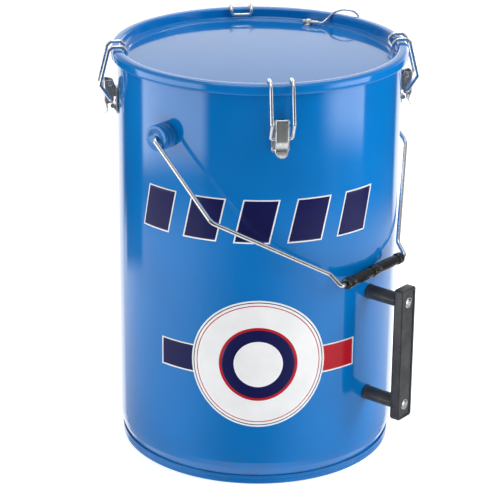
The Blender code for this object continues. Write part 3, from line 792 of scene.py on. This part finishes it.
def bail_wire():
    """One wire: hooked ends inside the ears, straight legs, shoulders and the grip span."""
    hook_s = WALL_R + HOOK_OUT
    leg = [(hook_s, -6.5), (hook_s, 0.0), (BAIL_LEG_S, 0.0), (BAIL_LEG_S, BAIL_LEG_T)]
    grip_span = [(BAIL_BEND_S, BAIL_BEND_T), (BAIL_BEND_S - 3.4, GRIP_DROP.length / MM)]
    path = [(s, t, 0.0) for s, t in leg]
    path += [(s + BAIL_OFFSET, t, 0.0) for s, t in grip_span]
    path += [(BAIL_OFFSET - s, t, 0.0) for s, t in reversed(grip_span)]
    path += [(-s, t, 0.0) for s, t in reversed(leg)]
    radii = [2.6, 4.2, 12.0, 9.0, 4.0]
    path = rounded(path, radii + radii[::-1], 10)
    handle = settle(wire("bail_wire_span", path, BAIL_WIRE_R, bail_frame(), 6))
    piece(handle, "bail", WIRE, ["bail_wire"])


def bail_grip():
    """Moulded grip: end collars with a groove behind them, two swells and a middle ring."""
    end = GRIP_HALF_LENGTH
    ring = GRIP_RING_R
    half = [(ring - 1.0, end), (ring - 0.2, end - 0.3), (ring, end - 1.2), (ring, end - 7.0),
            (ring - 0.3, end - 7.8), (GRIP_R - 0.5, end - 8.6), (GRIP_R - 0.6, end - 10.2),
            (GRIP_R, end - 11.2)]
    length = end - 11.2 - 7.2
    for step in range(1, 16):
        share = step / 16
        half.append((GRIP_R + 0.45 * math.sin(math.pi * share), end - 11.2 - length * share))
    half += [(GRIP_R, 7.2), (GRIP_R - 0.6, 6.2), (GRIP_R - 0.5, 4.9), (ring - 0.3, 4.2),
             (ring, 3.5), (ring, 0.6)]
    bore = BAIL_WIRE_R + GAP
    profile = half + [(r, -x) for r, x in reversed(half)]
    profile += [(bore + 0.4, -end), (bore, 0.6 - end), (bore, end - 0.6), (bore + 0.4, end)]
    placed = bail_frame()
    placed.translation = GRIP_CENTRE
    grip = settle(turned("bail_grip_body", profile, placed, 64, along_x=True))
    piece(grip, "grip", GRIP_PLASTIC, ["bail_grip"])


# ---------------------------------------------------------------- tipping handle
def handle_bar():
    """Bar with a raised rim round its sunk outer face, two round posts and two screws."""
    level = (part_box("handle_bar")[0].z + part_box("handle_bar")[1].z) / 2 / MM
    placed = wall_frame(HANDLE_AZIMUTH, 0.0, level)
    half_w, half_l = BAR_WIDTH / 2, BAR_LENGTH / 2
    bm = bmesh.new()

    def loop(out, inset, corner):
        """Rounded rectangle of vertices at a distance out, inset from the bar's outline."""
        corners = [(-half_w + inset, -half_l + inset), (half_w - inset, -half_l + inset),
                   (half_w - inset, half_l - inset), (-half_w + inset, half_l - inset)]
        spots = []
        for place, here in enumerate(corners):
            before, after = corners[place - 1], corners[(place + 1) % 4]
            spots += corner_arc((*before, 0), (*here, 0), (*after, 0), corner, 6)
        return [bm.verts.new((out * MM, spot.x * MM, spot.y * MM)) for spot in spots]

    levels = [(BAR_INNER, 2.2, 1.6), (BAR_INNER + 0.4, 0.9, 2.4), (BAR_INNER + 1.6, 0.1, 2.9),
              (BAR_INNER + 2.6, 0.0, 3.0), (BAR_OUTER - 1.8, 0.0, 3.0),
              (BAR_OUTER - 0.8, 0.15, 2.9), (BAR_OUTER - 0.2, 0.6, 2.6),
              (BAR_OUTER, 1.2, 2.2), (BAR_OUTER, 2.4, 2.0), (BAR_OUTER - 0.2, 2.8, 1.8),
              (BAR_OUTER - 1.0, 3.1, 1.6)]
    loops = [loop(*each) for each in levels]
    for lower, upper in zip(loops, loops[1:]):
        for place in range(len(lower)):
            after = (place + 1) % len(lower)
            bm.faces.new((lower[place], lower[after], upper[after], upper[place]))
    bm.faces.new(loops[0][::-1])
    bm.faces.new(loops[-1])
    bar = settle(mesh_object("handle_bar_body", bm, placed, 30.0))
    piece(bar, "drum", BAR_PLASTIC, ["handle_bar"])

    for name, up in (("lower", -POST_SPACING / 2), ("upper", POST_SPACING / 2)):
        spot = wall_frame(HANDLE_AZIMUTH, 0.0, level + up)
        outline = [(0.0, BAR_INNER), (POST_R, BAR_INNER), (POST_R, 3.0), (POST_R + 0.6, 1.8),
                   (POST_R + 0.6, 0.5), (0.0, 0.5)]
        profile = rounded([(r, h, 0.0) for r, h in outline], [0.5, 1.0, 0.5, 0.3], 5)
        post = turned(f"handle_post_{name}_body", profile, spot, 64, along_x=True)
        piece(post, "drum", BAR_PLASTIC, [f"handle_post_{name}"])

        face = BAR_OUTER - 0.6
        washer = [(4.9, face - 0.5), (5.8, face - 0.5), (5.8, face - 0.1), (5.5, face + 0.2),
                  (5.1, face + 0.2), (4.9, face)]
        ring = turned(f"handle_cup_{name}", washer, spot, 48, along_x=True)
        piece(ring, "drum", ZINC)
        screw_head(name, spot, face)


def screw_head(name, placed, face):
    """Raised countersunk head with a milled slot."""
    bm = bmesh.new()
    radius, slot_half, sides = 4.6, 0.6, 48
    crown = [(1.0, -0.45), (0.97, 0.0), (0.85, 0.22), (0.62, 0.36), (0.34, 0.44)]
    rings = []
    for share, height in crown:
        ring = []
        for side in range(sides):
            angle = math.tau * side / sides
            ring.append(bm.verts.new(((face + height) * MM, radius * share * math.cos(angle) * MM,
                                      radius * share * math.sin(angle) * MM)))
        rings.append(ring)
    for lower, upper in zip(rings, rings[1:]):
        for side in range(sides):
            after = (side + 1) % sides
            bm.faces.new((lower[side], lower[after], upper[after], upper[side]))
    bm.faces.new(rings[0][::-1])
    bm.faces.new(rings[-1])
    head = mesh_object(f"handle_screw_{name}_head", bm, placed)
    cutter_mesh = bmesh.new()
    bmesh.ops.create_cube(cutter_mesh, size=1.0)
    tilt = Matrix.Rotation(math.radians(24.0 if name == "upper" else -38.0), 4, "X")
    shape = Matrix.Diagonal((2.0 * MM, 2.0 * slot_half * MM, 12.0 * MM, 1.0))
    lift = Matrix.Translation(((face + 0.75) * MM, 0.0, 0.0))
    bmesh.ops.transform(cutter_mesh, matrix=tilt @ lift @ shape, verts=cutter_mesh.verts)
    cutter = mesh_object("slot_cutter", cutter_mesh, placed)
    cut = head.modifiers.new("slot", "BOOLEAN")
    cut.operation = "DIFFERENCE"
    cut.solver = "EXACT"
    cut.object = cutter
    bake(head)
    bpy.data.objects.remove(cutter, do_unlink=True)
    piece(head, "drum", WIRE, [f"handle_screw_{name}"])


def bake(obj):
    """Apply an object's modifiers."""
    bpy.context.view_layer.update()
    graph = bpy.context.evaluated_depsgraph_get()
    mesh = bpy.data.meshes.new_from_object(obj.evaluated_get(graph))
    obj.modifiers.clear()
    obj.data = mesh
    mesh.shade_smooth()
    mesh.set_sharp_from_angle(angle=math.radians(SHARP_ANGLE))


# ---------------------------------------------------------------- lid tether
def around(azimuth, radius, z):
    """Point in millimetres at an azimuth and radius, z measured from the lid's top."""
    spot = outward(azimuth) * radius
    return Vector((spot.x, spot.y, HEIGHT + z))


def tether():
    """Stiff wire between a crimp in the lid recess and a crimp on the wall."""
    start, end = around(150.8, TETHER_SEAT_R, -9.5), around(142.7, TETHER_SEAT_R, -9.0)
    run = (end - start).normalized()
    route = [end + run * GAP, end + run * 4.0, around(139.6, 144.4, -4.0),
             around(137.6, 148.4, 2.6), around(134.6, 154.0, 6.0), around(131.0, 160.2, 4.8),
             around(128.9, 163.4, -0.6), around(129.2, 163.0, -8.0),
             around(TETHER_WALL_AZIMUTH, 160.6, -15.0), around(TETHER_WALL_AZIMUTH, 158.0, -21.0),
             around(TETHER_WALL_AZIMUTH, 157.2, -25.0)]
    span = wire("tether_wire_span", rounded(route, 12.0, 8), TETHER_WIRE_R, round_ends=False)
    piece(span, "drum", WIRE, ["tether_wire"])

    half = (end - start).length / 2
    sleeve = [(0.0, half), (1.35, half), (2.0, half - 0.5), (2.1, half - 1.0),
              (2.1, 6.4 - half), (1.75, 6.0 - half), (1.75, 5.4 - half), (2.1, 5.0 - half),
              (2.1, 4.4 - half), (1.75, 4.0 - half), (1.75, 3.4 - half), (2.2, 3.0 - half),
              (2.6, 2.6 - half), (2.6, 0.6 - half), (2.1, -half), (0.0, -half)]
    aim = run.to_track_quat("Z", "X").to_matrix().to_4x4()
    placed = Matrix.Translation((start + end) * (0.5 * MM)) @ aim
    upper = turned("tether_crimp_lid", sleeve, placed, 40)
    piece(upper, "drum", ZINC, ["tether_ferrule_lid"])

    drop = 5.0
    shape = [(0.0, drop), (1.4, drop), (1.9, drop - 0.5), (2.0, drop - 1.0), (2.0, 1.2),
             (1.7, 0.8), (1.7, -0.8), (2.0, -1.2), (2.0, 1.0 - drop), (1.6, 0.3 - drop),
             (1.2, -drop), (0.0, -drop)]
    low = route[-1] - Vector((0.0, 0.0, GAP + drop))
    lower = turned("tether_crimp_wall", shape, Matrix.Translation(low * MM), 40)
    piece(lower, "drum", ZINC, ["tether_ferrule_wall"])

    middle = start + run * 7.0
    turn = azimuth_of(middle)
    spot = outward(turn) * TETHER_SEAT_R
    placed = Matrix.Translation((spot.x * MM, spot.y * MM, (HEIGHT + LID_FLOOR + GAP) * MM))
    placed = placed @ Matrix.Rotation(math.radians(turn - 90.0), 4, "Z")
    strap("tether_strap_lid", 2.5, 2.9, 4.2, placed, "tether_saddle_lid")
    quarter = math.radians(90.0)
    lay = Matrix.Rotation(quarter, 4, "Y") @ Matrix.Rotation(quarter, 4, "Z")
    placed = wall_frame(TETHER_WALL_AZIMUTH, GAP + 0.3, HEIGHT - 25.0 - GAP - drop) @ lay
    strap("tether_strap_wall", 2.3, 4.1, 4.6, placed, "tether_saddle_wall")


def strap(name, inner_r, height, foot, placed, node):
    """Thin strap bent over a crimp, with a rivet head on its foot."""
    outer_r = inner_r + 0.8
    outline = [(-outer_r - foot, 0.0), (-inner_r, 0.0)]
    outline += arc((0.0, height), inner_r, 180, 0, 18)
    outline += [(inner_r, 0.0), (outer_r, 0.0)]
    outline += arc((0.0, height), outer_r, 0, 180, 18)
    outline += [(-outer_r, 0.8), (-outer_r - foot, 0.8)]
    bm = bmesh.new()
    prism(bm, outline, -2.5, 2.5)
    band = mesh_object(name, bm, placed)
    soften(band, 0.2, 2)
    piece(band, "drum", ZINC, [node])
    dome = [(0.0, 1.7), (0.6, 1.62), (1.1, 1.35), (1.35, 1.0), (1.35, 0.7), (0.0, 0.7)]
    spot = placed @ Matrix.Translation((-(outer_r + foot * 0.55) * MM, 0.0, 0.0))
    rivet = turned(name + "_rivet", dome, spot, 24)
    piece(rivet, "drum", ZINC)


# ---------------------------------------------------------------- studio
def camera():
    """Camera in front of the drum, a little to the left of the front latch, looking down."""
    spot = outward(CAMERA_AZIMUTH) * CAMERA_DISTANCE
    spot.z = CAMERA_HEIGHT
    heading = math.radians(-CAMERA_AZIMUTH + CAMERA_YAW)
    tilt = math.radians(CAMERA_PITCH)
    ahead = Vector((math.sin(heading) * math.cos(tilt), math.cos(heading) * math.cos(tilt),
                    -math.sin(tilt)))
    data = bpy.data.cameras.new("camera")
    data.lens = CAMERA_LENS
    data.sensor_width = 36.0
    data.clip_start = 0.05
    data.clip_end = 60.0
    view = bpy.data.objects.new("camera", data)
    bpy.context.scene.collection.objects.link(view)
    level = ahead.to_track_quat("-Z", "Y").to_matrix().to_4x4()
    roll = Matrix.Rotation(math.radians(CAMERA_ROLL), 4, "Z")
    view.matrix_world = Matrix.Translation(spot) @ level @ roll
    bpy.context.scene.camera = view


def area_light(name, azimuth, distance, height, width, tall, watts, mirrored=True):
    """A soft box at an azimuth round the drum, facing its middle. Lengths are in metres."""
    data = bpy.data.lights.new(name, "AREA")
    data.shape = "RECTANGLE"
    data.size = width
    data.size_y = tall
    data.energy = watts
    lamp = bpy.data.objects.new(name, data)
    lamp.visible_camera = False
    lamp.visible_glossy = mirrored
    bpy.context.scene.collection.objects.link(lamp)
    spot = outward(azimuth) * distance
    spot.z = height
    lamp.location = spot
    lamp.rotation_mode = "QUATERNION"
    lamp.rotation_quaternion = (Vector((0.0, 0.0, LAMP_AIM_Z)) - spot).to_track_quat("-Z", "Y")


def sky():
    """Studio surroundings by direction: a bright backdrop, two soft boxes and a dark front.

    side is the azimuth from the middle of the front and rise is the elevation, in degrees.
    """
    world = bpy.data.worlds.new("studio")
    bpy.context.scene.world = world
    world.use_nodes = True
    graph = Graph(world.node_tree)
    coords = graph.nodes.new("ShaderNodeTexCoord").outputs["Generated"]
    turned_sky = graph.nodes.new("ShaderNodeVectorRotate")
    turned_sky.rotation_type = "Z_AXIS"
    turned_sky.inputs["Angle"].default_value = math.radians(-CAMERA_AZIMUTH)
    graph.links.new(coords, turned_sky.inputs["Vector"])
    parts = graph.nodes.new("ShaderNodeSeparateXYZ")
    graph.links.new(turned_sky.outputs["Vector"], parts.inputs["Vector"])
    back = graph.math("MULTIPLY", parts.outputs["Y"], -1.0)
    side = graph.math("ARCTAN2", parts.outputs["X"], back)
    side = graph.math("MULTIPLY", side, math.degrees(1.0))
    rise = graph.math("MULTIPLY", graph.math("ARCSINE", parts.outputs["Z"]), math.degrees(1.0))
    far = graph.math("ABSOLUTE", side)

    # The soft boxes, as the wall mirrors them
    box_left = graph.band(side, (-110.0, -104.0), (-48.0, -38.0), 2.8)
    box_left = graph.math("MULTIPLY", box_left, graph.span(rise, -19.3, -18.2, 0.0, 1.0, True))
    box_right = graph.band(side, (46.0, 68.0), (91.0, 95.0), 3.2)
    box_right = graph.math("MULTIPLY", box_right, graph.span(rise, -18.7, -17.2, 0.0, 1.0, True))
    boxes = graph.math("MULTIPLY", graph.math("ADD", box_left, box_right),
                       graph.span(rise, -6.0, 2.0, 1.0, 0.25, True))

    # The backdrop, mirrored by the lid and by the wall's outlines
    edge_left = graph.span(side, -150.0, -138.0, 1.0, 0.0, True)
    edge_right = graph.span(side, 143.0, 152.0, 0.0, 1.0, True)
    backdrop = graph.math("MULTIPLY", graph.math("ADD", edge_left, edge_right),
                          graph.span(rise, 14.4, 16.8, 1.25, 0.62))
    horizon = graph.band(rise, (-8.0, -2.0), (8.0, 12.0), 2.2)
    horizon = graph.math("MULTIPLY", horizon, graph.span(far, 120.0, 150.0, 0.0, 1.0))
    backdrop = graph.math("MAXIMUM", backdrop, horizon)

    # The light table below, darker in front and with one gap on the left
    dip = graph.band(side, (-75.0, -5.0), (0.0, 60.0), 0.92)
    table = graph.math("MULTIPLY", graph.math("SUBTRACT", 1.0, dip),
                       graph.span(rise, -21.0, -19.3, 0.95, 0.0, True))
    table = graph.math("MULTIPLY", table, graph.span(rise, -26.5, -22.0, 0.5, 1.0))
    notch = graph.math("MULTIPLY", graph.band(side, (-139.0, -135.0), (-112.0, -106.0)),
                       graph.span(rise, -21.9, -21.2, 0.0, 1.0, True))
    table = graph.math("MULTIPLY", table, graph.math("SUBTRACT", 1.0, notch))
    under = graph.span(rise, -44.0, -34.0, 1.0, 0.0, True)
    above = graph.span(rise, 0.0, 25.0, 0.01, 0.28, True)
    rear = graph.math("MULTIPLY", graph.span(far, 60.0, 120.0, 0.0, 1.0),
                      graph.span(rise, -3.0, 0.0, 0.0, 0.3))
    total = graph.math("MAXIMUM", above, rear)
    for share in (boxes, backdrop, table, under):
        total = graph.math("MAXIMUM", total, share)
    graph.links.new(total, graph.nodes["Background"].inputs["Strength"])
    graph.nodes["Background"].inputs["Color"].default_value = (0.98, 0.99, 1.0, 1.0)


def studio():
    """Pale light table, sky and soft boxes."""
    bm = bmesh.new()
    bmesh.ops.create_grid(bm, x_segments=8, y_segments=8, size=FLOOR_HALF)
    floor = mesh_object("floor", bm)
    paint = Shader("floor_paint", (0.88, 0.88, 0.88), 0.6)
    paint.feed("Roughness", paint.span(paint.noise(3.0, 3.0), 0.3, 0.7, 0.5, 0.65))
    paint.set("Emission Color", (1.0, 1.0, 1.0, 1.0))
    paint.set("Emission Strength", FLOOR_GLOW)
    floor.data.materials.append(paint.material)
    floor.visible_glossy = False
    sky()
    area_light("key_right", 72.0, 1.6, 0.95, 0.9, 1.3, 18.0, False)
    area_light("fill_left", -86.0, 1.6, 0.95, 0.9, 1.3, 5.5, False)
    area_light("back_rim", 165.0, 1.3, 2.1, 1.2, 0.5, 8.0)
    area_light("top", -20.0, 0.4, 2.4, 1.4, 1.4, 10.0)


drum_shell()
drum_bottom()
lid()
gasket()
prints()
for number, place_azimuth in enumerate(LATCH_AZIMUTHS, start=1):
    latch_base(number, place_azimuth)
    latch_pin(number, place_azimuth)
    latch_lever(number, place_azimuth)
    latch_loop(number, place_azimuth)
for ear_name, ear_azimuth in zip(("front", "rear"), EAR_AZIMUTHS):
    bail_ear(ear_name, ear_azimuth)
bail_wire()
bail_grip()
handle_bar()
tether()
camera()
studio()
bpy.context.scene.view_settings.view_transform = "Standard"
